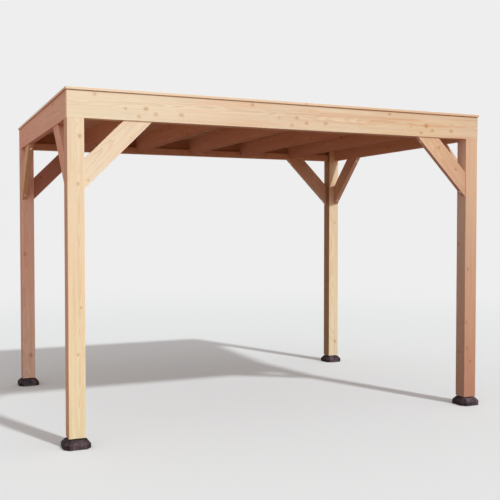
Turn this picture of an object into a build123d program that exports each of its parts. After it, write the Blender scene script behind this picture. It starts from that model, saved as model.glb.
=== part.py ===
from build123d import *
import os
from math import sqrt

# Wooden patio cover: four posts on low feet, a ring of tall edge beams,
# knee braces, joists notched over ledger strips, and a flat roof deck.
# Millimetres. +X runs along the wide front, +Y to the back, +Z up.
# The origin is on the ground, under the middle of the roof.

# Frame, measured over the outer faces of the edge beams
frame_width = 3540
frame_depth = 2530
clear_height = 2318

# Timber sections
post_side = 120
beam_height = 195
beam_thickness = 45
brace_width = 147
brace_thickness = 45
brace_leg = 495
brace_setback = 8
joist_count = 5
joist_height = 145
joist_thickness = 45
ledger_height = 62
ledger_thickness = 45
batten_height = 45
batten_thickness = 45

# Roof
board_thickness = 18
membrane_thickness = 2
roof_recess = 18
trim_width = 68
trim_thickness = 18
trim_overhang = 8

# Feet
foot_side = 190
foot_top_side = 132
foot_height = 63
foot_rim = 32
foot_corner = 34
foot_top_corner = 22
plate_side = 100
plate_thickness = 6
nut_across_flats = 46
nut_height = 4

# Eased edges of the planed timber
post_ease = 4
beam_ease = 2
trim_ease = 2

# Clearances
board_gap = 2
joist_end_gap = 1
notch_gap = 1

# Places worked out from the sizes above
half_width = frame_width / 2
half_depth = frame_depth / 2
post_bottom = foot_height + nut_height + plate_thickness
beam_top = clear_height + beam_height
board_top = beam_top - roof_recess - membrane_thickness
joist_top = board_top - board_thickness
joist_bottom = joist_top - joist_height
ledger_top = clear_height + ledger_height
post_x = half_width - post_side / 2
post_y = half_depth - post_side / 2
roof_half_width = half_width - beam_thickness
roof_half_depth = half_depth - beam_thickness

# Signs of X and Y at each corner
corners = {
    "front_left": (-1, -1),
    "front_right": (1, -1),
    "back_left": (-1, 1),
    "back_right": (1, 1),
}

# Signs of X at the two sides
sides = {"left": -1, "right": 1}

on_base = (Align.CENTER, Align.CENTER, Align.MIN)


def block(x_low, x_high, y_low, y_high, z_low, z_high):
    """A box between two corners."""
    low_corner = (Align.MIN, Align.MIN, Align.MIN)
    size = (x_high - x_low, y_high - y_low, z_high - z_low)
    return Pos(x_low, y_low, z_low) * Box(*size, align=low_corner)


def eased(timber, direction, radius):
    """Rounds the long edges of a timber that runs along a direction."""
    return fillet(timber.edges().filter_by(direction), radius)


def foot(sign_x, sign_y):
    """A low block with an upright rim and sloping shoulders, cut at its corners."""
    base = chamfer(Rectangle(foot_side, foot_side).vertices(), foot_corner)
    top = chamfer(Rectangle(foot_top_side, foot_top_side).vertices(), foot_top_corner)
    rim = extrude(base, foot_rim)
    levels = [Pos(0, 0, foot_rim) * base, Pos(0, 0, foot_height) * top]
    shoulder = loft(levels, ruled=True)
    return Pos(sign_x * post_x, sign_y * post_y, 0) * (rim + shoulder)


def post_plate(sign_x, sign_y):
    """The levelling plate under a post, on the nut that sets its height."""
    nut_radius = nut_across_flats / sqrt(3)
    nut = extrude(RegularPolygon(nut_radius, 6), nut_height)
    plate = Pos(0, 0, nut_height) * Box(plate_side, plate_side, plate_thickness, align=on_base)
    return Pos(sign_x * post_x, sign_y * post_y, foot_height) * (nut + plate)


def post(sign_x, sign_y):
    """A square post, notched at its head on both outer faces for the beams."""
    height = joist_top - post_bottom
    centre = Pos(sign_x * post_x, sign_y * post_y, 0)
    shaft = centre * Pos(0, 0, post_bottom) * Box(post_side, post_side, height, align=on_base)
    shaft = eased(shaft, Axis.Z, post_ease)
    head_height = joist_top - clear_height
    notch_box = Box(beam_thickness, post_side, head_height, align=on_base)
    notch_offset = (post_side - beam_thickness) / 2
    side_notch = centre * Pos(sign_x * notch_offset, 0, clear_height) * notch_box
    end_box = Box(post_side, beam_thickness, head_height, align=on_base)
    end_notch = centre * Pos(0, sign_y * notch_offset, clear_height) * end_box
    return shaft - side_notch - end_notch


def end_beam(sign_y):
    """The front or back beam, which runs the full width."""
    middle = sign_y * (half_depth - beam_thickness / 2)
    beam = Box(frame_width, beam_thickness, beam_height, align=on_base)
    return eased(Pos(0, middle, clear_height) * beam, Axis.X, beam_ease)


def side_beam(sign_x):
    """A side beam, which fits between the front and back beams."""
    middle = sign_x * (half_width - beam_thickness / 2)
    length = frame_depth - 2 * beam_thickness
    beam = Box(beam_thickness, length, beam_height, align=on_base)
    return eased(Pos(middle, 0, clear_height) * beam, Axis.Y, beam_ease)


def brace_outline():
    """A knee brace seen from its side, at 45 degrees.

    Its foot stands upright against the post at x = 0, and its head lies
    level under the beam at y = 0.
    """
    cut = brace_width * sqrt(2)
    return Polygon(
        (0, -brace_leg),
        (brace_leg, 0),
        (brace_leg - cut, 0),
        (0, cut - brace_leg),
        align=None,
    )


def brace_blank():
    """A knee brace with its face on the plane y = 0 and its back behind it."""
    upright = Plane.XZ * brace_outline()
    blank = extrude(upright, amount=-brace_thickness)
    slanted = [
        edge
        for edge in blank.edges().filter_by(Axis.Y, reverse=True)
        if abs(edge.tangent_at(0.5).X) > 0.1 and abs(edge.tangent_at(0.5).Z) > 0.1
    ]
    return fillet(slanted, beam_ease)


def end_brace(sign_x, sign_y):
    """A brace from a post to the front or back beam."""
    blank = brace_blank()
    if sign_x > 0:
        blank = mirror(blank, Plane.YZ)
    if sign_y > 0:
        blank = mirror(blank, Plane.XZ)
    from_post = sign_x * (half_width - post_side)
    face = sign_y * (half_depth - brace_setback)
    return Pos(from_post, face, clear_height) * blank


def side_brace(sign_x, sign_y):
    """A brace from a post to a side beam."""
    blank = Rot(0, 0, 90) * brace_blank()
    if sign_x < 0:
        blank = mirror(blank, Plane.YZ)
    if sign_y > 0:
        blank = mirror(blank, Plane.XZ)
    from_post = sign_y * (half_depth - post_side)
    face = sign_x * (half_width - brace_setback)
    return Pos(face, from_post, clear_height) * blank


def ledger(sign_y):
    """A strip along the inside of a beam, from post to post, under the joists."""
    length = frame_width - 2 * post_side
    middle = sign_y * (roof_half_depth - ledger_thickness / 2)
    strip = Box(length, ledger_thickness, ledger_height, align=on_base)
    return eased(Pos(0, middle, clear_height) * strip, Axis.X, beam_ease)


def side_batten(sign_x):
    """A batten inside a side beam, which carries the ends of the roof boards."""
    length = frame_depth - 2 * post_side
    middle = sign_x * (roof_half_width - batten_thickness / 2)
    batten = Box(batten_thickness, length, batten_height, align=on_base)
    batten = Pos(middle, 0, joist_top - batten_height) * batten
    return eased(batten, Axis.Y, beam_ease)


def joist(centre_x):
    """A joist between the beams, notched at both ends over the ledgers."""
    half_length = roof_half_depth - joist_end_gap
    low_x = centre_x - joist_thickness / 2
    high_x = centre_x + joist_thickness / 2
    timber = block(low_x, high_x, -half_length, half_length, joist_bottom, joist_top)
    timber = eased(timber, Axis.Y, beam_ease)
    notch_start = roof_half_depth - ledger_thickness - notch_gap
    for near, far in ((notch_start, half_depth), (-half_depth, -notch_start)):
        timber -= block(low_x, high_x, near, far, joist_bottom, ledger_top)
    return timber


def roof_sheet(bottom, thickness):
    """A flat layer of the roof, inside the ring of beams."""
    size_x = 2 * (roof_half_width - board_gap)
    size_y = 2 * (roof_half_depth - board_gap)
    return Pos(0, 0, bottom) * Box(size_x, size_y, thickness, align=on_base)


def trim_piece(half_length, half_span):
    """A mitred strip on top of a beam, along X at the front.

    half_length reaches to its outer corner, and half_span from the middle
    of the roof to its outer edge.
    """
    outline = Polygon(
        (-half_length, -half_span),
        (half_length, -half_span),
        (half_length - trim_width, trim_width - half_span),
        (trim_width - half_length, trim_width - half_span),
        align=None,
    )
    strip = Pos(0, 0, beam_top) * extrude(outline, trim_thickness)
    outer_top = strip.edges().filter_by(Axis.X).sort_by(Axis.Z)[-2:].sort_by(Axis.Y)[0]
    return fillet(outer_top, trim_ease)


def end_name(sign_y):
    """Says whether a piece is at the front or the back."""
    return "front" if sign_y < 0 else "back"


def write(shape, name):
    """Saves one piece under its own name."""
    export_step(shape, f"parts/{name}.step")


os.makedirs("parts", exist_ok=True)

for corner, (sign_x, sign_y) in corners.items():
    write(foot(sign_x, sign_y), f"{corner}_foot")
    write(post_plate(sign_x, sign_y), f"{corner}_post_plate")
    write(post(sign_x, sign_y), f"{corner}_post")
    write(end_brace(sign_x, sign_y), f"{corner}_{end_name(sign_y)}_brace")
    write(side_brace(sign_x, sign_y), f"{corner}_side_brace")

trim_half_width = half_width + trim_overhang
trim_half_depth = half_depth + trim_overhang
end_trim = trim_piece(trim_half_width, trim_half_depth)
side_trim = Rot(0, 0, 90) * trim_piece(trim_half_depth, trim_half_width)

for sign_y in (-1, 1):
    end = end_name(sign_y)
    write(end_beam(sign_y), f"{end}_beam")
    write(ledger(sign_y), f"{end}_ledger")
    write(end_trim if sign_y < 0 else mirror(end_trim, Plane.XZ), f"{end}_trim")

for side, sign_x in sides.items():
    write(side_beam(sign_x), f"{side}_beam")
    write(side_batten(sign_x), f"{side}_batten")
    write(side_trim if sign_x > 0 else mirror(side_trim, Plane.YZ), f"{side}_trim")

joist_spacing = (frame_width - beam_thickness) / (joist_count + 1)
for index in range(joist_count):
    from_middle = index - (joist_count - 1) / 2
    write(joist(from_middle * joist_spacing), f"joist_{index + 1}")

write(roof_sheet(joist_top, board_thickness), "roof_deck")
write(roof_sheet(board_top, membrane_thickness), "roof_membrane")
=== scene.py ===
import math
import random
from types import SimpleNamespace

import bmesh
import bpy
from mathutils import Matrix, Vector, noise


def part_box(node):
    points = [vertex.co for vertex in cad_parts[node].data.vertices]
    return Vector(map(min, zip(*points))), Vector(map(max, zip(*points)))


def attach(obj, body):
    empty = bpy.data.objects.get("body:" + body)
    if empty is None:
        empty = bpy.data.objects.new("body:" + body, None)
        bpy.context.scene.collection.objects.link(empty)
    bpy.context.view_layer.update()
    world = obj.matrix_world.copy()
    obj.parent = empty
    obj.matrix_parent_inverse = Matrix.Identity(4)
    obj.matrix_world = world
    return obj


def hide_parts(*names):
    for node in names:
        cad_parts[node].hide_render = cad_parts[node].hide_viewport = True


# Looks of a wooden patio cover. Metres, +X along the wide front, +Z up.

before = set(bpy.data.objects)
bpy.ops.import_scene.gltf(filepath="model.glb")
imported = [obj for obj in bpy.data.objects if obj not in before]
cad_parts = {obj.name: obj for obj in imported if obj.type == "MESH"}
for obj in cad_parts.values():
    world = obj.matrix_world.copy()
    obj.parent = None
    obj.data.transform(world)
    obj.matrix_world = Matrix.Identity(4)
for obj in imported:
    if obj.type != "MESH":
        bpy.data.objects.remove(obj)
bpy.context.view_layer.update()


def colour(red, green, blue):
    """A colour from 0 to 255 in display values, as a linear colour."""
    def linear(value):
        share = value / 255
        if share <= 0.04045:
            return share / 12.92
        return ((share + 0.055) / 1.055) ** 2.4
    return (linear(red), linear(green), linear(blue), 1)


x_axis = Vector((1, 0, 0))
y_axis = Vector((0, 1, 0))
z_axis = Vector((0, 0, 1))

# The share of a 45 degree slope that lies along each of its two axes
slant = math.sqrt(0.5)

# Signs of X and Y at each corner
corners = {
    "front_left": (-1, -1),
    "front_right": (1, -1),
    "back_left": (-1, 1),
    "back_right": (1, 1),
}

# The photograph's viewing place, with angles in degrees
camera_place = (-2.7804, -6.7587, 1.5594)
camera_turn = 23.52
camera_dip = 1.69
lens_length = 56.46
farthest_view = 200

# Light: a sun from the front right, and a sky that is brighter low down and
# towards the front
sun_from = (0.258, -0.645, 0.719)
sun_strength = 1.95
sun_spread = math.radians(3.5)
sun_colour = (0.94, 1.0, 1.03)
sky_low = 0.72
sky_high = 0.50
sky_front = 0.26
sky_front_border = (0.3, -1.0)
sky_colour = (0.96, 0.95, 0.95, 1)
background_tone = colour(238, 238, 238)

# The floor fades into the background as it gets farther away. The light it
# throws back is warmer than its own tone, and dark around a shaded middle.
floor_tone = colour(228, 227, 226)
floor_fade = (5.0, 13.0)
floor_radius = 60
floor_sides = 96
floor_drop = 0.0005
warm_bounce = colour(166, 121, 110)
shaded_bounce = colour(36, 26, 22)
shade_middle = (0.2, 0.3, 0.0)
shade_reach = (1.7, 3.2)

# Tones of the timbers, as they look in full light, but for the deep left tone, which is painted
# shade
pale_tone = colour(240, 223, 195)
warm_tone = colour(226, 195, 160)
rose_tone = colour(222, 190, 162)
# Painted shade: a deeper, rosier tone for timbers on the left side, which stand in warm shade
left_shade_tone = colour(226, 178, 154)
pink_tone = colour(248, 208, 184)
straw_tone = colour(248, 229, 193)
roof_tone = colour(220, 186, 148)

# What a timber's tone is multiplied by on one of its sides: painted shade or painted light,
# where light falls differently there
plain_wood = (1, 1, 1, 1)
# Painted light: pales the front right post's left side and the braces' lower slanted sides
painted_pale_side_light = (1.12, 1.24, 1.42, 1)
# Painted shade: dulls the back left post's left side
painted_dull_left_shade = (0.69, 0.66, 0.69, 1)
# Painted shade: darkens the joists' bottoms
rosy_heartwood = (0.74, 0.56, 0.47, 1)
# Painted shade: darkens the front left post's left side
pink_heartwood = (0.75, 0.57, 0.55, 1)
# Painted shade: darkens the back right post's left side
dark_heartwood = (0.47, 0.34, 0.26, 1)
# Painted shade: darkens the back beam's inner face, between the joists
shaded_heartwood = (0.70, 0.60, 0.48, 1)
# Painted shadow: darkens the beams' tops under the trim's overhang
painted_trim_shadow = (0.52, 0.47, 0.42, 1)

# What the tone is multiplied by in each part of the wood
tone_lift = (1.05, 1.05, 1.05, 1)
late_wood = (0.83, 0.70, 0.57, 1)
pink_patch = (0.985, 0.935, 0.915, 1)
yellow_patch = (0.98, 0.96, 0.86, 1)
blushed_wood = (0.95, 0.77, 0.69, 1)
pitch_streak = (0.86, 0.70, 0.52, 1)
knot_halo = (0.86, 0.72, 0.54, 1)
knot_light = (0.80, 0.64, 0.50, 1)
knot_dark = (0.62, 0.46, 0.34, 1)
knot_rim = (0.46, 0.31, 0.21, 1)
# Worn edge and painted highlight: lightens the long edges
worn_highlit_wood = (1.18, 1.03, 0.97, 1)
end_grain = (1.12, 0.92, 0.85, 1)

# Grain: rings per metre, and noise scales along, across and through a timber
rings_per_metre = 210
drift_scale = (0.9, 2.4, 2.4)
streak_scale = (1.4, 46.0, 46.0)
blush_scale = (1.0, 31.0, 31.0)
fibre_scale = (22.0, 640.0, 640.0)
wobble_scale = 75.0

# The radius that a knot's stored size is a share of
knot_scale = 0.05

# Tones of each post at its foot and its head, and the painted shade or painted light that its
# left side is multiplied by
post_looks = {
    "front_left": ((colour(241, 229, 189), colour(239, 224, 194)), pink_heartwood),
    # The front right post's darker, redder foot is partly wood tone and partly painted shade
    "front_right": ((colour(189, 143, 118), colour(223, 195, 164)), painted_pale_side_light),
    "back_left": ((pink_tone, pink_tone), painted_dull_left_shade),
    "back_right": ((straw_tone, straw_tone), dark_heartwood),
}

# Tones of each beam from its left or front end to its other end
beam_tones = {
    "front_beam": (colour(239, 227, 199), colour(223, 203, 173)),
    "back_beam": (warm_tone, pale_tone),
    "left_beam": (colour(228, 188, 162), left_shade_tone),
    "right_beam": (warm_tone, warm_tone),
}

# Tones of the braces that show best, from foot to head, and of the others
brace_tones = {
    "front_left_front_brace": (colour(238, 225, 197), colour(240, 227, 199)),
    "front_left_side_brace": (left_shade_tone, left_shade_tone),
    "front_right_front_brace": (colour(206, 167, 139), warm_tone),
    "back_left_back_brace": (colour(203, 156, 136), colour(203, 156, 136)),
    "back_left_side_brace": (colour(216, 178, 136), colour(216, 178, 136)),
}
other_brace_tones = (rose_tone, warm_tone)

# Knots that show on the front beam, (along, above its bottom, radius), which
# come back along the beam at a nearly even step
beam_knot_step = 1.222
beam_knot_shift = 0.012
beam_knots = (
    (-0.348, 0.170, 0.009),
    (-0.146, 0.083, 0.007),
    (-0.036, 0.033, 0.009),
    (0.000, 0.091, 0.011),
    (0.092, 0.055, 0.010),
    (0.268, 0.061, 0.012),
)

# Knots on the front faces of the front posts, (height, across, radius)
post_knots = {
    "front_left": (
        (0.643, 0.008, 0.008),
        (0.972, 0.030, 0.006),
        (1.838, 0.015, 0.009),
        (2.172, 0.030, 0.010),
    ),
    "front_right": (
        (0.363, 0.001, 0.008),
        (0.480, -0.033, 0.007),
        (0.708, -0.046, 0.009),
        (1.170, -0.030, 0.009),
    ),
}

# Half sizes of a post, spacing and largest radius for knots on its sides
post_half = Vector((1.2, 0.06, 0.06))
side_knot_spacing = 0.7
side_knot_radius = 0.012

# Seeds: each kind of timber counts up from its own
post_seed = 11
beam_seeds = {"front_beam": 65, "back_beam": 22, "left_beam": 23, "right_beam": 24}
brace_seed = 31
joist_seed = 51
ledger_seed = 61
end_trim_seed = 71
batten_seed = 81
side_trim_seed = 91
beam_knot_seed = 5
board_seed = 7

# Sizes that the frame's boxes don't give
joist_count = 5
brace_width = 0.147
foot_edge = 0.0025

# Screws: radii, the step between those in a row, and insets from the ends
brace_screw_radius = 0.0085
trim_screw_radius = 0.0042
ledger_screw_radius = 0.0048
screw_spacing = 0.55
brace_screw_inset = 0.058
trim_screw_inset = 0.075
ledger_screw_inset = 0.09


class Graph:
    """Adds nodes to one tree and links what they take."""

    def __init__(self, tree):
        self.tree = tree

    def add(self, kind, *values, **settings):
        """A node with its settings, whose first sockets take the values."""
        node = self.tree.nodes.new(kind)
        for name, value in settings.items():
            setattr(node, name, value)
        for value, socket in zip(values, node.inputs):
            self.put(value, socket)
        return node

    def put(self, value, socket):
        """Links another node's socket, or sets a plain value."""
        if isinstance(value, bpy.types.NodeSocket):
            self.tree.links.new(value, socket)
        else:
            socket.default_value = value

    def fill(self, sockets, values):
        """Puts each named value in the socket of that name."""
        for label, value in values.items():
            self.put(value, sockets[label])

    def math(self, operation, *values, clamp=False):
        node = self.add("ShaderNodeMath", *values, operation=operation, use_clamp=clamp)
        return node.outputs[0]

    def plus(self, first, second):
        return self.math("ADD", first, second)

    def minus(self, first, second):
        return self.math("SUBTRACT", first, second)

    def times(self, first, second):
        return self.math("MULTIPLY", first, second)

    def scaled(self, value, factor, offset):
        """A value times a factor, plus an offset."""
        return self.math("MULTIPLY_ADD", value, factor, offset)

    def swing(self, share, width):
        """A share from 0 to 1 as a move to either side, of that width in all."""
        return self.scaled(share, width, -width / 2)

    def between(self, share, low, high):
        """The low value where the share is 0, and the high one where it is 1."""
        return self.scaled(share, self.minus(high, low), low)

    def square_sum(self, first, second):
        return self.plus(self.times(first, first), self.times(second, second))

    def weighted(self, base, *parts):
        """A base value plus each part, a value and its weight."""
        total = base
        for value, weight in parts:
            total = self.scaled(value, weight, total)
        return total

    def vector(self, operation, *values):
        node = self.add("ShaderNodeVectorMath", *values, operation=operation)
        return node.outputs["Vector"]

    def measure(self, operation, *values):
        """Vector maths that gives one number."""
        node = self.add("ShaderNodeVectorMath", *values, operation=operation)
        return node.outputs["Value"]

    def combine(self, x, y, z):
        return self.add("ShaderNodeCombineXYZ", x, y, z).outputs[0]

    def grey(self, value):
        return self.combine(value, value, value)

    def separate(self, vector):
        return tuple(self.add("ShaderNodeSeparateXYZ", vector).outputs)

    def coordinate(self, kind):
        return self.add("ShaderNodeTexCoord").outputs[kind]

    def noise(self, place, scale, detail=2.0, roughness=0.5, output=0):
        """Noise of one scale, or of one scale for each axis."""
        if isinstance(scale, tuple):
            place = self.vector("MULTIPLY", place, scale)
            scale = 1.0
        node = self.add("ShaderNodeTexNoise")
        self.fill(node.inputs, {
            "Vector": place, "Scale": scale, "Detail": detail, "Roughness": roughness,
        })
        return node.outputs[output]

    def smooth(self, value, start, end):
        """0 before start, 1 after end, and a smooth step between them."""
        node = self.add(
            "ShaderNodeMapRange", value, start, end, interpolation_type="SMOOTHSTEP"
        )
        return node.outputs[0]

    def mix(self, factor, first, second, blend="MIX"):
        """Mixes colours, which a Mix node takes at 6 and 7 and gives at 2."""
        node = self.add("ShaderNodeMix", factor, data_type="RGBA", blend_type=blend)
        self.put(first, node.inputs[6])
        self.put(second, node.inputs[7])
        return node.outputs[2]

    def tint(self, factor, tone, change):
        """A tone multiplied by a change of colour, as far as the factor says."""
        return self.mix(factor, tone, change, "MULTIPLY")

    def bump(self, height, distance):
        node = self.add("ShaderNodeBump")
        self.fill(node.inputs, {"Height": height, "Distance": distance})
        return node.outputs[0]


def new_group(name, inputs, outputs):
    """A node group with its graph, and the sockets at its two ends."""
    group = bpy.data.node_groups.new(name, "ShaderNodeTree")
    for direction, sockets in (("INPUT", inputs), ("OUTPUT", outputs)):
        for kind, labels in sockets.items():
            for label in labels:
                group.interface.new_socket(label, in_out=direction, socket_type=kind)
    graph = Graph(group)
    taken = graph.add("NodeGroupInput").outputs
    given = graph.add("NodeGroupOutput").inputs
    return group, graph, taken, given


def knot_group():
    """One knot: how far it pushes the grain aside, and where its parts are.

    Point is (along, across) from the timber's middle. Row holds the knot's
    place as shares of the timber's length and width, and its radius as a
    share of the knot scale. Reach is 1 at the knot's edge.
    """
    length_to_width = 1.25
    push_fade = 0.33
    least_radius = 0.0001
    core_edge = (1.0, 0.86)
    rim_outside = (1.16, 1.0)
    rim_inside = (0.78, 0.98)
    halo_edge = (2.6, 0.9)

    group, graph, taken, given = new_group(
        "Knot",
        {"NodeSocketVector": ("Point", "Row", "Half"), "NodeSocketFloat": ("Wobble",)},
        {"NodeSocketFloat": ("Push", "Core", "Rim", "Halo", "Reach")},
    )
    along, across, _ = graph.separate(taken["Point"])
    row_along, row_across, row_size = graph.separate(taken["Row"])
    half_along, half_across, _ = graph.separate(taken["Half"])

    def from_centre(place, share, half):
        centre = graph.times(graph.scaled(share, 2.0, -1.0), half)
        return graph.minus(place, centre)

    radius = graph.math("MAXIMUM", graph.times(row_size, knot_scale), least_radius)
    from_along = from_centre(along, row_along, half_along)
    from_across = from_centre(across, row_across, half_across)
    square = graph.square_sum(
        graph.math("DIVIDE", from_along, graph.times(radius, length_to_width)),
        graph.math("DIVIDE", from_across, radius),
    )
    fade = graph.math("EXPONENT", graph.scaled(square, -push_fade, push_fade))
    fade = graph.math("MINIMUM", fade, 1.0)
    reach = graph.plus(graph.math("SQRT", square), taken["Wobble"])
    graph.fill(given, {
        "Push": graph.times(from_across, fade),
        "Core": graph.smooth(reach, *core_edge),
        "Rim": graph.times(
            graph.smooth(reach, *rim_outside), graph.smooth(reach, *rim_inside)
        ),
        "Halo": graph.smooth(reach, *halo_edge),
        "Reach": reach,
    })
    return group


def place_in_timber(graph, taken):
    """Where a point lies in its timber, and the slow noises that the wood follows."""
    seed_spread = 1.7

    along, across, through = graph.separate(taken["Point"])
    seed = taken["Seed"]
    seed_shift = graph.combine(seed, graph.times(seed, seed_spread), seed)
    shifted = graph.vector("ADD", taken["Point"], seed_shift)
    drift = graph.separate(graph.noise(shifted, drift_scale, output="Color"))
    return SimpleNamespace(
        along=along, across=across, through=through, seed_shift=seed_shift,
        drift_across=drift[0], drift_through=drift[1], patches=drift[2],
        wobble=graph.noise(shifted, wobble_scale),
    )


def grow_knots(graph, taken, wood, knot_tree):
    """Sets two rows of knots in the wood, which push its grain aside."""
    wobble_width = 0.5
    slant_a = 0.35
    slant_b = -0.30

    square = taken["Square"]
    flat = graph.minus(1.0, square)
    wobble = graph.swing(wood.wobble, wobble_width)

    def knot_at(row, depth, side, slant_share):
        node = graph.add("ShaderNodeGroup", node_tree=knot_tree)
        slanted = graph.scaled(depth, slant_share, wood.along)
        graph.fill(node.inputs, {
            "Point": graph.combine(slanted, side, 0.0),
            "Row": row,
            "Half": taken["Half"],
            "Wobble": wobble,
        })
        return node.outputs

    depth_b = graph.between(square, wood.through, wood.across)
    side_b = graph.between(square, wood.across, wood.through)
    knot_a = knot_at(taken["Row A"], wood.through, wood.across, slant_a)
    knot_b = knot_at(taken["Row B"], depth_b, side_b, slant_b)
    pushed = graph.minus(wood.across, knot_a["Push"])
    wood.grain_across = graph.minus(pushed, graph.times(knot_b["Push"], flat))
    wood.grain_through = graph.minus(wood.through, graph.times(knot_b["Push"], square))
    wood.knots = (knot_a, knot_b)


def grow_rings(graph, taken, wood):
    """Growth rings around the pith, and streaks and fibres along the grain."""
    pith_drift = 0.09
    ring_wander = 1.6
    late_start = (0.30, 0.92)
    late_end = (1.0, 0.94)

    def from_pith(place, pith, drift):
        return graph.plus(graph.minus(place, pith), graph.swing(drift, pith_drift))

    _, pith_across, pith_through = graph.separate(taken["Pith"])
    radius = graph.math("SQRT", graph.square_sum(
        from_pith(wood.grain_across, pith_across, wood.drift_across),
        from_pith(wood.grain_through, pith_through, wood.drift_through),
    ))
    grain = graph.combine(wood.along, wood.grain_across, wood.grain_through)
    wood.flow = graph.vector("ADD", grain, wood.seed_shift)
    wood.streak = graph.noise(wood.flow, streak_scale, detail=3.0, roughness=0.62)
    wood.fibre = graph.noise(wood.flow, fibre_scale, roughness=0.7)
    place = graph.scaled(radius, rings_per_metre, taken["Seed"])
    ring = graph.math("FRACT", graph.scaled(wood.streak, ring_wander, place))
    late = graph.times(graph.smooth(ring, *late_start), graph.smooth(ring, *late_end))
    wood.late = graph.times(late, taken["Grain"])


def clear_tone(graph, taken, wood):
    """The tone of the wood between its knots."""
    shading_drift = 0.08
    shading_border = (0.90, 0.985)
    late_strength = 0.75
    pink_border = (0.35, 0.70)
    yellow_border = (0.52, 0.75)
    streak_shade = (0.26, 0.87)
    fibre_shade = (0.16, 0.92)
    blush_border = (0.50, 0.66)
    pitch_border = (0.64, 0.74)
    pitch_strength = 0.5

    half_along = graph.separate(taken["Half"])[0]
    share = graph.math("DIVIDE", wood.along, half_along)
    share = graph.math("MULTIPLY_ADD", share, 0.5, 0.5, clamp=True)
    tone = graph.mix(share, taken["Low tone"], taken["High tone"])
    tone = graph.tint(1.0, tone, tone_lift)

    shading_reach = graph.measure("DOT_PRODUCT", taken["Point"], taken["Shading side"])
    shading_reach = graph.plus(shading_reach, graph.swing(wood.drift_across, shading_drift))
    tone = graph.tint(graph.smooth(shading_reach, *shading_border), tone, taken["Side shading"])
    tone = graph.tint(graph.times(wood.late, late_strength), tone, late_wood)
    tone = graph.tint(graph.smooth(wood.patches, *pink_border), tone, pink_patch)
    tone = graph.tint(graph.smooth(wood.drift_through, *yellow_border), tone, yellow_patch)
    shade = graph.times(
        graph.scaled(wood.streak, *streak_shade), graph.scaled(wood.fibre, *fibre_shade)
    )
    tone = graph.tint(1.0, tone, graph.grey(shade))

    blush_noise = graph.noise(wood.flow, blush_scale, detail=3.0, roughness=0.6)
    blush = graph.between(share, taken["Low blush"], taken["High blush"])
    blush = graph.times(graph.smooth(blush_noise, *blush_border), blush)
    tone = graph.tint(blush, tone, blushed_wood)
    pitch = graph.times(graph.smooth(wood.streak, *pitch_border), pitch_strength)
    return graph.tint(pitch, tone, pitch_streak)


def knotty_tone(graph, taken, tone, parts):
    """The tone with one knot: a halo, a ringed core and a dark rim."""
    halo_strength = 0.36
    rim_strength = 0.7
    whorl_pace = 17.0
    whorl_shade = (0.3, 0.4)

    depth = taken["Knot depth"]
    tone = graph.tint(graph.times(parts["Halo"], halo_strength), tone, knot_halo)
    dark = graph.tint(1.0, tone, knot_rim)
    whorl = graph.math("SINE", graph.times(parts["Reach"], whorl_pace))
    heart = graph.mix(graph.scaled(whorl, *whorl_shade), knot_light, knot_dark)
    tone = graph.tint(graph.times(parts["Core"], depth), tone, heart)
    rim = graph.times(parts["Rim"], graph.times(depth, rim_strength))
    return graph.mix(rim, tone, dark)


def worn_highlit_tone(graph, taken, wood, tone):
    """The tone with the timber's long edges worn pale and lightened further as a painted
    highlight.
    """
    edge_wander = 0.004
    edge_border = (0.0065, 0.002)

    _, half_across, half_through = graph.separate(taken["Half"])

    def from_edge(half, place):
        return graph.minus(half, graph.math("ABSOLUTE", place))

    reach = graph.math(
        "MAXIMUM", from_edge(half_across, wood.across), from_edge(half_through, wood.through)
    )
    reach = graph.plus(reach, graph.swing(wood.wobble, edge_wander))
    rubbed = graph.times(graph.smooth(reach, *edge_border), taken["Worn highlit edge"])
    return graph.tint(rubbed, tone, worn_highlit_wood)


def timber_group(knot_tree):
    """Planed softwood: growth rings, fibres, streaks, knots, edges worn pale and lightened as a
    painted highlight, end grain, and painted shade or light on one side.

    Point is (along, across, through) from the timber's middle. Square is 1
    where the second knots grow across the timber instead of through it.
    Its side vector points to the side that gets painted shade or painted light, and is 1 there.
    """
    end_border = (0.85, 0.97)
    end_shade = (0.30, 0.86)
    relief = 0.00035

    group, graph, taken, given = new_group(
        "Timber",
        {
            "NodeSocketVector": (
                "Point", "Half", "Pith", "Along axis", "Row A", "Row B", "Shading side"
            ),
            "NodeSocketFloat": (
                "Seed", "Square", "Grain", "Knot depth", "Worn highlit edge", "Low blush", "High blush"
            ),
            "NodeSocketColor": ("Low tone", "High tone", "Side shading"),
        },
        {
            "NodeSocketColor": ("Color",),
            "NodeSocketFloat": ("Roughness",),
            "NodeSocketVector": ("Normal",),
        },
    )
    wood = place_in_timber(graph, taken)
    grow_knots(graph, taken, wood, knot_tree)
    grow_rings(graph, taken, wood)
    tone = clear_tone(graph, taken, wood)
    for parts in wood.knots:
        tone = knotty_tone(graph, taken, tone, parts)
    tone = worn_highlit_tone(graph, taken, wood, tone)

    normal = graph.coordinate("Normal")
    facing = graph.math("ABSOLUTE", graph.measure("DOT_PRODUCT", normal, taken["Along axis"]))
    end = graph.smooth(facing, *end_border)
    shade = graph.grey(graph.scaled(wood.fibre, *end_shade))
    end_tone = graph.tint(1.0, graph.tint(1.0, tone, end_grain), shade)

    knot_a, knot_b = wood.knots
    core = graph.math("MAXIMUM", knot_a["Core"], knot_b["Core"])
    rim = graph.math("MAXIMUM", knot_a["Rim"], knot_b["Rim"])
    height = graph.weighted(0.0, (wood.late, 0.5), (wood.fibre, 0.9), (core, 0.6), (rim, -0.9))
    graph.fill(given, {
        "Color": graph.mix(end, tone, end_tone),
        "Roughness": graph.weighted(
            0.66, (wood.fibre, 0.16), (wood.late, -0.10), (core, -0.12), (end, 0.14)
        ),
        "Normal": graph.bump(height, relief),
    })
    return group


timber_tree = timber_group(knot_group())


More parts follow.
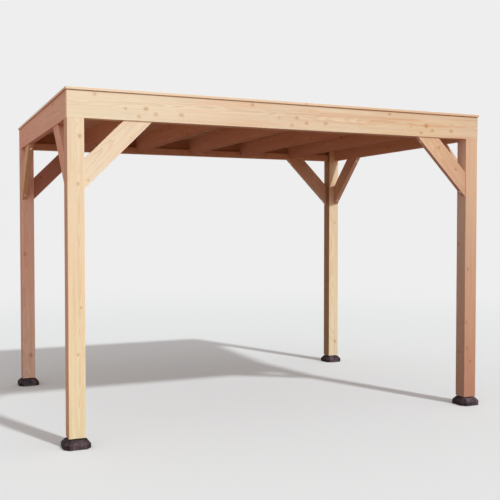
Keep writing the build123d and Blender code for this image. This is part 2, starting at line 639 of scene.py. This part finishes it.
def new_material(name):
    """A material with one shader, and the graph that feeds it."""
    material = bpy.data.materials.new(name)
    material.use_nodes = True
    graph = Graph(material.node_tree)
    shader = material.node_tree.nodes["Principled BSDF"]
    return material, graph, shader


def knot_row(graph, share, knots, half):
    """Looks up the nearest of some knots, (along, across, radius), by its share along."""
    def share_of(place, half_size):
        return (place / half_size + 1) / 2

    node = graph.add("ShaderNodeValToRGB", share)
    ramp = node.color_ramp
    ramp.interpolation = "CONSTANT"
    placed = sorted(knots)
    starts = [0.0]
    for first, second in zip(placed, placed[1:]):
        starts.append(share_of((first[0] + second[0]) / 2, half.x))
    while len(ramp.elements) < len(placed):
        ramp.elements.new(1.0)
    while len(ramp.elements) > len(placed):
        ramp.elements.remove(ramp.elements[-1])
    for element, start in zip(ramp.elements, starts):
        element.position = start
    for element, (along, across, radius) in zip(ramp.elements, placed):
        element.color = (
            share_of(along, half.x), share_of(across, half.y), radius / knot_scale, 1
        )
    return node.outputs[0]


def timber_look(tones, seed, half, pith, grain=0.6, knot_depth=0.5, square=0.0,
                rubbed_edge=0.6, blush=(0.4, 0.4), heart_side=(0, 0, 0),
                heartwood=plain_wood):
    """What the timber group takes for one timber, by socket."""
    return {
        "Low tone": tones[0],
        "High tone": tones[1],
        "Seed": seed,
        "Half": tuple(half),
        "Pith": pith,
        "Grain": grain,
        "Knot depth": knot_depth,
        "Square": square,
        "Worn highlit edge": rubbed_edge,
        "Low blush": blush[0],
        "High blush": blush[1],
        "Shading side": [side / size for side, size in zip(heart_side, half)],
        "Side shading": heartwood,
    }


def timber_material(name, point, half, along_axis, look, knots=()):
    """A timber's own material, from its look and its two rows of knots."""
    material, graph, shader = new_material(name)
    place = point(graph)
    node = graph.add("ShaderNodeGroup", node_tree=timber_tree)
    graph.fill(node.inputs, {"Point": place, "Along axis": tuple(along_axis), **look})
    share = graph.scaled(graph.separate(place)[0], 0.5 / half.x, 0.5)
    for label, row in zip(("Row A", "Row B"), knots):
        if row:
            graph.put(knot_row(graph, share, row, half), node.inputs[label])
    graph.fill(shader.inputs, {
        "Base Color": node.outputs["Color"],
        "Roughness": node.outputs["Roughness"],
        "Normal": node.outputs["Normal"],
        "Specular IOR Level": 0.05,
    })
    return material


def wear(node_name, material):
    """Puts one material on a node of the frame."""
    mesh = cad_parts[node_name].data
    mesh.materials.clear()
    mesh.materials.append(material)


def scattered_knots(dice, half, spacing, largest):
    """Knots at uneven steps along a timber, in two alternating rows."""
    first_steps = (0.2, 1.0)
    later_steps = (0.45, 1.55)
    across_shares = (-0.85, 0.85)
    size_shares = (0.35, 1.0)
    end_margin = 0.03

    rows = ([], [])
    place = -half.x + dice.uniform(*first_steps) * spacing
    turn = 0
    while place < half.x - end_margin:
        across = dice.uniform(*across_shares) * half.y
        rows[turn % 2].append((place, across, dice.uniform(*size_shares) * largest))
        place += dice.uniform(*later_steps) * spacing
        turn += 1
    return rows


def box_point(middle, turn):
    """Says how a point of the frame is read along, across and through a timber."""
    def build(graph):
        node = graph.add("ShaderNodeMapping", vector_type="TEXTURE")
        graph.fill(node.inputs, {
            "Vector": graph.coordinate("Object"),
            "Location": middle,
            "Rotation": turn.to_euler(),
        })
        return node.outputs[0]
    return build


def dress_timber(name, along_axis, across_axis, tones, seed, knots=None, spacing=0.55,
                 largest=0.014, middle=None, half=None, **changes):
    """Gives one timber of the frame its own material. The changes are to its look."""
    seed_step = 3.17
    pith_shares = (-0.5, 0.5)
    pith_reach = (0.05, 0.11)

    through_axis = along_axis.cross(across_axis)
    axes = (along_axis, across_axis, through_axis)
    if middle is None:
        low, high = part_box(name)
        middle = (low + high) / 2
        size = (high - low) / 2
        half = Vector([abs(size.dot(axis)) for axis in axes])
    dice = random.Random(seed)
    scattered = scattered_knots(dice, half, spacing, largest)
    pith_across = dice.uniform(*pith_shares) * half.y
    pith_through = dice.choice((-1, 1)) * dice.uniform(*pith_reach)
    look = timber_look(
        tones, seed * seed_step, half, (0, pith_across, pith_through), **changes
    )
    point = box_point(middle, Matrix(axes).transposed())
    material = timber_material(
        name + "_wood", point, half, along_axis, look, knots or scattered
    )
    wear(name, material)


def dress_posts():
    """The posts, whose grain runs upright."""
    low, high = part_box("front_left_post")
    middle_height = (low.z + high.z) / 2
    for seed, (corner, (tones, heartwood)) in enumerate(post_looks.items(), post_seed):
        knots = None
        if corner in post_knots:
            front_row = [
                (height - middle_height, across, radius)
                for height, across, radius in post_knots[corner]
            ]
            side_row = scattered_knots(
                random.Random(seed), post_half, side_knot_spacing, side_knot_radius
            )[0]
            knots = (front_row, side_row)
        dress_timber(corner + "_post", z_axis, x_axis, tones, seed, knots=knots,
                     spacing=0.5, square=1.0, rubbed_edge=1.0, blush=(0.3, 0.3),
                     heart_side=(0, -1, 0), heartwood=heartwood)


def front_beam_rows():
    """The front beam's knots, in two rows so that near ones don't cut each other."""
    low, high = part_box("front_beam")
    half_height = (high.z - low.z) / 2
    dice = random.Random(beam_knot_seed)
    placed = []
    for repeat in (-1, 0, 1):
        for along, above, radius in beam_knots:
            shift = dice.uniform(-beam_knot_shift, beam_knot_shift)
            moved = along + repeat * beam_knot_step + shift
            if low.x < moved < high.x:
                placed.append((moved, above - half_height, radius))
    placed.sort()
    return placed[0::2], placed[1::2]


def dress_beams():
    """The ring of edge beams, with a painted shadow along their tops under the trim's overhang,
    and painted shade on the back beam's inner face.
    """
    under_trim_shadow = {"heart_side": (0, 1, 0), "heartwood": painted_trim_shadow}
    looks = {
        "front_beam": (x_axis, {
            "knots": front_beam_rows(), "knot_depth": 0.45, "blush": (0.0, 1.2), **under_trim_shadow,
        }),
        # Painted shade on the back beam's inner face
        "back_beam": (x_axis, {"heart_side": (0, 0, 1), "heartwood": shaded_heartwood}),
        "left_beam": (y_axis, under_trim_shadow),
        "right_beam": (y_axis, under_trim_shadow),
    }
    for name, (along_axis, changes) in looks.items():
        dress_timber(name, along_axis, z_axis, beam_tones[name], beam_seeds[name],
                     largest=0.016, rubbed_edge=0.1, **changes)


def braces():
    """Each brace's name, and the level direction from its post along its beam."""
    for corner, (sign_x, sign_y) in corners.items():
        end = corner.split("_")[0]
        yield f"{corner}_{end}_brace", x_axis * -sign_x
        yield f"{corner}_side_brace", y_axis * -sign_y


def dress_braces():
    """The knee braces, whose grain runs along their slope."""
    for seed, (name, inward) in enumerate(braces(), brace_seed):
        low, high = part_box(name)
        leg = high.z - low.z
        thickness = min(high.x - low.x, high.y - low.y)
        along_axis = (inward + z_axis) * slant
        across_axis = (z_axis - inward) * slant
        lower_face = (low + high) / 2
        middle = lower_face + across_axis * (brace_width / 2)
        half = Vector((leg * slant, brace_width / 2, thickness / 2))
        # Painted light pales each brace's lower slanted side
        dress_timber(name, along_axis, across_axis, brace_tones.get(name, other_brace_tones),
                     seed, middle=middle, half=half, spacing=0.35, largest=0.010,
                     blush=(0.25, 0.25), heart_side=(0, -1, 0), heartwood=painted_pale_side_light)


def dress_roof_timbers():
    """Joists, ledgers, battens and the trim on top of the beams."""
    plain = (warm_tone, warm_tone)
    thin = {"largest": 0.008, "rubbed_edge": 0.1, "blush": (0.1, 0.2)}
    for index in range(joist_count):
        # Painted shade darkens each joist's bottom
        dress_timber(f"joist_{index + 1}", y_axis, z_axis, (warm_tone, rose_tone),
                     joist_seed + index, spacing=0.8, largest=0.011, rubbed_edge=0.2,
                     heart_side=(0, -1, 0), heartwood=rosy_heartwood)
    for index, end in enumerate(("front", "back")):
        dress_timber(f"{end}_ledger", x_axis, z_axis, plain, ledger_seed + index,
                     largest=0.010)
        dress_timber(f"{end}_trim", x_axis, y_axis, (pale_tone, warm_tone),
                     end_trim_seed + index, **thin)
    for index, side in enumerate(("left", "right")):
        dress_timber(f"{side}_batten", y_axis, z_axis, plain, batten_seed + index,
                     largest=0.009)
        dress_timber(f"{side}_trim", y_axis, x_axis, (warm_tone, pale_tone),
                     side_trim_seed + index, **thin)


def finished_object(name, builder, material):
    """Turns a bmesh into a named piece that rides on the frame."""
    mesh = bpy.data.meshes.new(name)
    builder.to_mesh(mesh)
    builder.free()
    mesh.materials.append(material)
    piece = bpy.data.objects.new(name, mesh)
    bpy.context.scene.collection.objects.link(piece)
    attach(piece, "root")
    return piece


def close_rings(builder, rings):
    """Joins rings of vertices, one to the next, and caps the first and the last."""
    for lower, upper in zip(rings, rings[1:]):
        for step in range(len(lower)):
            following = (step + 1) % len(lower)
            builder.faces.new((lower[step], lower[following], upper[following], upper[step]))
    builder.faces.new(list(reversed(rings[0])))
    builder.faces.new(rings[-1])


def roof_boards():
    """Boards that run over the joists, with a groove along every joint below.

    A layer on the vertices says where each board was cut from one tall log.
    """
    board_count = 21
    groove = 0.004
    joint = 0.0006
    longest_shift = 40
    layer_step = 0.31

    low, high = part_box("roof_deck")
    pitch = (high.y - low.y) / board_count
    middle_height = (low.z + high.z) / 2
    builder = bmesh.new()
    grain = builder.verts.layers.float_vector.new("grain")
    dice = random.Random(board_seed)
    for index in range(board_count):
        near = low.y + index * pitch + joint / 2
        far = low.y + (index + 1) * pitch - joint / 2
        outline = (
            (near, high.z), (near, low.z + groove), (near + groove, low.z),
            (far - groove, low.z), (far, low.z + groove), (far, high.z),
        )
        shift = dice.uniform(0, longest_shift)
        rings = []
        for end_x in (low.x, high.x):
            ring = []
            for y, z in outline:
                vertex = builder.verts.new((end_x, y, z))
                through = z - middle_height + index * layer_step
                vertex[grain] = (end_x + shift, y - (near + far) / 2, through)
                ring.append(vertex)
            rings.append(ring)
        close_rings(builder, rings)
    bmesh.ops.recalc_face_normals(builder, faces=builder.faces)

    def point(graph):
        return graph.add("ShaderNodeAttribute", attribute_name="grain").outputs["Vector"]

    half = Vector(((high.x - low.x) / 2, pitch / 2, board_count * layer_step))
    look = timber_look((roof_tone, roof_tone), seed=4.0, half=half, pith=(0, 0.01, 0.09),
                       grain=0.9, rubbed_edge=0.0, blush=(0.5, 0.5))
    material = timber_material("roof_board_wood", point, half, x_axis, look)
    piece = finished_object("roof_boards", builder, material)
    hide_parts("roof_deck")


def membrane_material():
    """Black rubber sheet with dust that has dried on it."""
    clean_rubber = colour(46, 46, 47)
    dusty_rubber = colour(60, 59, 57)
    grit_tone = colour(98, 94, 86)
    dust_border = (0.38, 0.72)
    grit_border = (0.60, 0.74)
    grit_strength = 0.5
    roughness = (0.12, 0.60)
    relief = 0.0003

    material, graph, shader = new_material("rubber_sheet")
    place = graph.coordinate("Object")
    dust = graph.noise(place, scale=5.0, detail=8.0, roughness=0.68)
    grit = graph.noise(place, scale=260.0, roughness=0.6)
    dusty = graph.smooth(dust, *dust_border)
    tone = graph.mix(dusty, clean_rubber, dusty_rubber)
    gritty = graph.times(graph.smooth(grit, *grit_border), grit_strength)
    graph.fill(shader.inputs, {
        "Base Color": graph.mix(gritty, tone, grit_tone),
        "Roughness": graph.scaled(dusty, *roughness),
        "Normal": graph.bump(grit, relief),
    })
    return material


def roof_membrane():
    """One rubber sheet laid as a shallow tray, turned up against the beams."""
    thickness = 0.0012
    spread = 0.0006
    sink = 0.0002
    below_trim = 0.0008
    ripple_height = 0.0005
    crease_height = 0.0002
    rippled_below = 0.0005
    cells_along = 86
    cells_deep = 60

    low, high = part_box("roof_membrane")
    trim_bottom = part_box("front_trim")[0].z
    rise = trim_bottom - below_trim - high.z

    # The turned-up edge and its bend, (inset, lift), from the outside in
    bend = ((0.0, rise), (0.0, rise * 0.35), (0.0012, 0.0012), (0.0045, 0.0002), (0.012, 0.0))
    bend_width = bend[-1][0]

    def stations(start, end, cells):
        first = start - spread
        last = end + spread
        flat_start = first + bend_width
        flat_length = last - bend_width - flat_start
        listed = [(first + inset, lift) for inset, lift in bend]
        for index in range(1, cells):
            listed.append((flat_start + flat_length * index / cells, 0.0))
        listed += [(last - inset, lift) for inset, lift in reversed(bend)]
        return listed

    def uneven(x, y):
        ripple = noise.noise(Vector((x * 1.6, y * 1.6, 3.0))) * ripple_height
        crease = noise.noise(Vector((x * 7.0, y * 5.0, 9.0))) * crease_height
        return ripple + crease

    columns = stations(low.x, high.x, cells_along)
    rows = stations(low.y, high.y, cells_deep)
    builder = bmesh.new()
    grid = []
    for x, lift_x in columns:
        line = []
        for y, lift_y in rows:
            lift = max(lift_x, lift_y)
            soft = 0.0 if lift > rippled_below else uneven(x, y)
            line.append(builder.verts.new((x, y, high.z - sink + lift + soft)))
        grid.append(line)
    for left, right in zip(grid, grid[1:]):
        for row in range(len(rows) - 1):
            face = builder.faces.new((left[row], right[row], right[row + 1], left[row + 1]))
            face.smooth = True
    piece = finished_object("rubber_roof_sheet", builder, membrane_material())
    shell = piece.modifiers.new("thickness", "SOLIDIFY")
    shell.thickness = thickness
    shell.offset = -1
    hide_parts("roof_membrane")


def steel_material():
    """Dark coated steel, worn paler in spots."""
    coated_steel = colour(44, 43, 44)
    worn_steel = colour(66, 62, 60)
    worn_border = (0.4, 0.7)
    roughness = (0.3, 0.35)
    relief = 0.0003

    material, graph, shader = new_material("dark_steel")
    place = graph.coordinate("Object")
    grain = graph.noise(place, scale=420.0, roughness=0.6)
    cloud = graph.noise(place, scale=26.0, detail=3.0, roughness=0.6)
    worn = graph.smooth(cloud, *worn_border)
    graph.fill(shader.inputs, {
        "Base Color": graph.mix(worn, coated_steel, worn_steel),
        "Roughness": graph.scaled(cloud, *roughness),
        "Normal": graph.bump(grain, relief),
        "Metallic": 0.55,
    })
    return material


def screw_material():
    """Bright steel of the screw heads."""
    warm_steel = colour(240, 226, 206)
    pale_steel = colour(252, 242, 226)
    roughness = (0.15, 0.18)
    relief = 0.0001

    material, graph, shader = new_material("bright_steel")
    cloud = graph.noise(graph.coordinate("Object"), scale=300.0, roughness=0.6)
    graph.fill(shader.inputs, {
        "Base Color": graph.mix(cloud, warm_steel, pale_steel),
        "Roughness": graph.scaled(cloud, *roughness),
        "Normal": graph.bump(cloud, relief),
        "Metallic": 0.85,
    })
    return material


def concrete_material():
    """Dark cast concrete with pores and pale lime, with painted shade on the faces that turn
    left or right.
    """
    dark_cement = colour(60, 49, 52)
    pale_cement = colour(106, 88, 92)
    lime = colour(118, 112, 110)
    pore_tone = colour(24, 22, 22)
    # Painted shade on the faces that turn left or right
    painted_side_shade_concrete = (0.42, 0.38, 0.40, 1)
    cloud_border = (0.35, 0.68)
    lime_border = (0.58, 0.74)
    pore_border = (0.22, 0.10)
    porous_border = (0.52, 0.60)
    side_shade_border = (0.15, 0.60)
    roughness = (0.2, 0.72)
    relief = 0.0007

    material, graph, shader = new_material("cast_concrete")
    place = graph.coordinate("Object")
    cloud = graph.noise(place, scale=14.0, detail=4.0, roughness=0.62)
    grit = graph.noise(place, scale=210.0, detail=3.0, roughness=0.65)
    cells = graph.add("ShaderNodeTexVoronoi")
    graph.fill(cells.inputs, {"Vector": place, "Scale": 120.0})
    porous = graph.smooth(graph.noise(place, scale=45.0), *porous_border)
    pore = graph.times(graph.smooth(cells.outputs["Distance"], *pore_border), porous)
    tone = graph.mix(graph.smooth(cloud, *cloud_border), dark_cement, pale_cement)
    tone = graph.mix(graph.smooth(grit, *lime_border), tone, lime)
    tone = graph.mix(pore, tone, pore_tone)
    sideways = graph.math("ABSOLUTE", graph.separate(graph.coordinate("Normal"))[0])
    side_shade = graph.smooth(sideways, *side_shade_border)
    height = graph.weighted(0.0, (grit, 0.6), (pore, -1.4))
    graph.fill(shader.inputs, {
        "Base Color": graph.tint(side_shade, tone, painted_side_shade_concrete),
        "Roughness": graph.scaled(grit, *roughness),
        "Normal": graph.bump(height, relief),
        "Specular IOR Level": 0.15,
    })
    return material


def dress_feet():
    """Concrete feet with softened edges, and the steel between them and the posts."""
    concrete = concrete_material()
    steel = steel_material()
    for corner in corners:
        wear(corner + "_foot", concrete)
        wear(corner + "_post_plate", steel)
        soft_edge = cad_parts[corner + "_foot"].modifiers.new("soft_edge", "BEVEL")
        soft_edge.width = foot_edge
        soft_edge.segments = 3
        soft_edge.limit_method = "ANGLE"


def add_screw(builder, place, outward, radius):
    """A sunk screw head with a six-lobed drive, on a face that looks outward."""
    sides = 24
    lobes = 6
    lobe_depth = 0.16

    # From the rim to the bottom of the drive, (radius, height)
    levels = (
        (radius, -0.0008), (radius, 0.0001), (radius * 0.93, 0.0002),
        (radius * 0.44, 0.0002), (radius * 0.38, -0.0018), (0.0001, -0.0020),
    )
    turn = outward.to_track_quat("Z", "Y").to_matrix().to_4x4()
    seat = Matrix.Translation(place) @ turn
    rings = []
    for reach, height in levels:
        ring = []
        for step in range(sides):
            angle = 2 * math.pi * step / sides
            lobed = reach
            if reach < radius / 2:
                lobed = reach * (1.0 + lobe_depth * math.cos(lobes * angle))
            point = Vector((lobed * math.cos(angle), lobed * math.sin(angle), height))
            ring.append(builder.verts.new(seat @ point))
        rings.append(ring)
    close_rings(builder, rings)


def brace_screws(material):
    """One screw near each end of every brace, in its lower slanted face."""
    builder = bmesh.new()
    for name, inward in braces():
        low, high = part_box(name)
        along_axis = (inward + z_axis) * slant
        outward = (inward - z_axis) * slant
        lower_face = (low + high) / 2
        from_middle = (high.z - low.z) * slant - brace_screw_inset
        for side in (-1, 1):
            place = lower_face + along_axis * (side * from_middle)
            add_screw(builder, place, outward, brace_screw_radius)
    finished_object("brace_screws", builder, material)


def screw_row(builder, name, outward, inset, radius):
    """Evenly spaced screws along a timber, in its face that looks outward."""
    low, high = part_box(name)
    size = high - low
    run = 0 if size.x > size.y else 1
    span = size[run] - 2 * inset
    count = max(1, round(span / screw_spacing))
    place = (low + high) / 2 + outward * (abs(size.dot(outward)) / 2)
    for index in range(count + 1):
        place[run] = low[run] + inset + span * index / count
        add_screw(builder, place, outward, radius)


def trim_screws(material):
    """Screws down through the trim into the beams."""
    builder = bmesh.new()
    for name in ("front_trim", "back_trim", "left_trim", "right_trim"):
        screw_row(builder, name, z_axis, trim_screw_inset, trim_screw_radius)
    finished_object("trim_screws", builder, material)


def ledger_screws(material):
    """Screws through the ledgers and side battens into the beams."""
    builder = bmesh.new()
    faces = {
        "front_ledger": y_axis,
        "back_ledger": -y_axis,
        "left_batten": x_axis,
        "right_batten": -x_axis,
    }
    for name, outward in faces.items():
        screw_row(builder, name, outward, ledger_screw_inset, ledger_screw_radius)
    finished_object("ledger_screws", builder, material)


def seen_by_camera(graph):
    """1 for rays from the camera, and for what gloss and glass show."""
    path = graph.add("ShaderNodeLightPath").outputs
    seen = graph.math("ADD", path["Is Camera Ray"], path["Is Glossy Ray"], clamp=True)
    return graph.math("ADD", seen, path["Is Transmission Ray"], clamp=True)


def floor_material():
    """Pale to the eye, and warm in the light that it throws back."""
    material, graph, shader = new_material("pale_floor")
    graph.tree.nodes.remove(shader)
    place = graph.coordinate("Object")
    far = graph.smooth(graph.measure("LENGTH", place), *floor_fade)
    from_shade = graph.smooth(graph.measure("DISTANCE", place, shade_middle), *shade_reach)
    bounce = graph.mix(from_shade, shaded_bounce, warm_bounce)
    pale = graph.add("ShaderNodeBsdfDiffuse", floor_tone).outputs[0]
    glow = graph.add("ShaderNodeEmission", background_tone).outputs[0]
    warm = graph.add("ShaderNodeBsdfDiffuse", bounce).outputs[0]
    shown = graph.add("ShaderNodeMixShader", far, pale, glow).outputs[0]
    both = graph.add("ShaderNodeMixShader", seen_by_camera(graph), warm, shown).outputs[0]
    graph.put(both, graph.tree.nodes["Material Output"].inputs["Surface"])
    return material


def floor():
    """A pale floor that keeps the shadow and fades into the background."""
    builder = bmesh.new()
    bmesh.ops.create_circle(
        builder, cap_ends=True, segments=floor_sides, radius=floor_radius
    )
    mesh = bpy.data.meshes.new("floor")
    builder.to_mesh(mesh)
    builder.free()
    mesh.materials.append(floor_material())
    plate = bpy.data.objects.new("floor", mesh)
    plate.location.z = -floor_drop
    bpy.context.scene.collection.objects.link(plate)


def sky():
    """A soft sky for the light, and a plain pale background for the eye."""
    world = bpy.data.worlds.new("studio")
    bpy.context.scene.world = world
    world.use_nodes = True
    world.node_tree.nodes.clear()
    graph = Graph(world.node_tree)
    _, depth, up = graph.separate(graph.coordinate("Generated"))
    level = graph.scaled(graph.smooth(up, 0.0, 1.0), sky_high - sky_low, sky_low)
    level = graph.scaled(graph.smooth(depth, *sky_front_border), sky_front, level)
    light = graph.add("ShaderNodeBackground", sky_colour, level).outputs[0]
    plain = graph.add("ShaderNodeBackground", background_tone).outputs[0]
    both = graph.add("ShaderNodeMixShader", seen_by_camera(graph), light, plain).outputs[0]
    graph.add("ShaderNodeOutputWorld", both)


def sun():
    """The key light, from the front right."""
    data = bpy.data.lights.new("key", "SUN")
    data.energy = sun_strength
    data.angle = sun_spread
    data.color = sun_colour
    lamp = bpy.data.objects.new("key", data)
    lamp.rotation_mode = "QUATERNION"
    lamp.rotation_quaternion = (-Vector(sun_from)).to_track_quat("-Z", "Y")
    bpy.context.scene.collection.objects.link(lamp)


def camera():
    """The camera, at the photograph's viewing place."""
    data = bpy.data.cameras.new("camera")
    data.lens = lens_length
    data.clip_end = farthest_view
    eye = bpy.data.objects.new("camera", data)
    eye.location = camera_place
    eye.rotation_euler = (math.radians(90 - camera_dip), 0, math.radians(-camera_turn))
    bpy.context.scene.collection.objects.link(eye)
    bpy.context.scene.camera = eye


dress_posts()
dress_beams()
dress_braces()
dress_roof_timbers()
dress_feet()
roof_boards()
roof_membrane()
bright_steel = screw_material()
brace_screws(bright_steel)
trim_screws(bright_steel)
ledger_screws(bright_steel)
floor()
sky()
sun()
camera()
bpy.context.scene.view_settings.view_transform = "Standard"
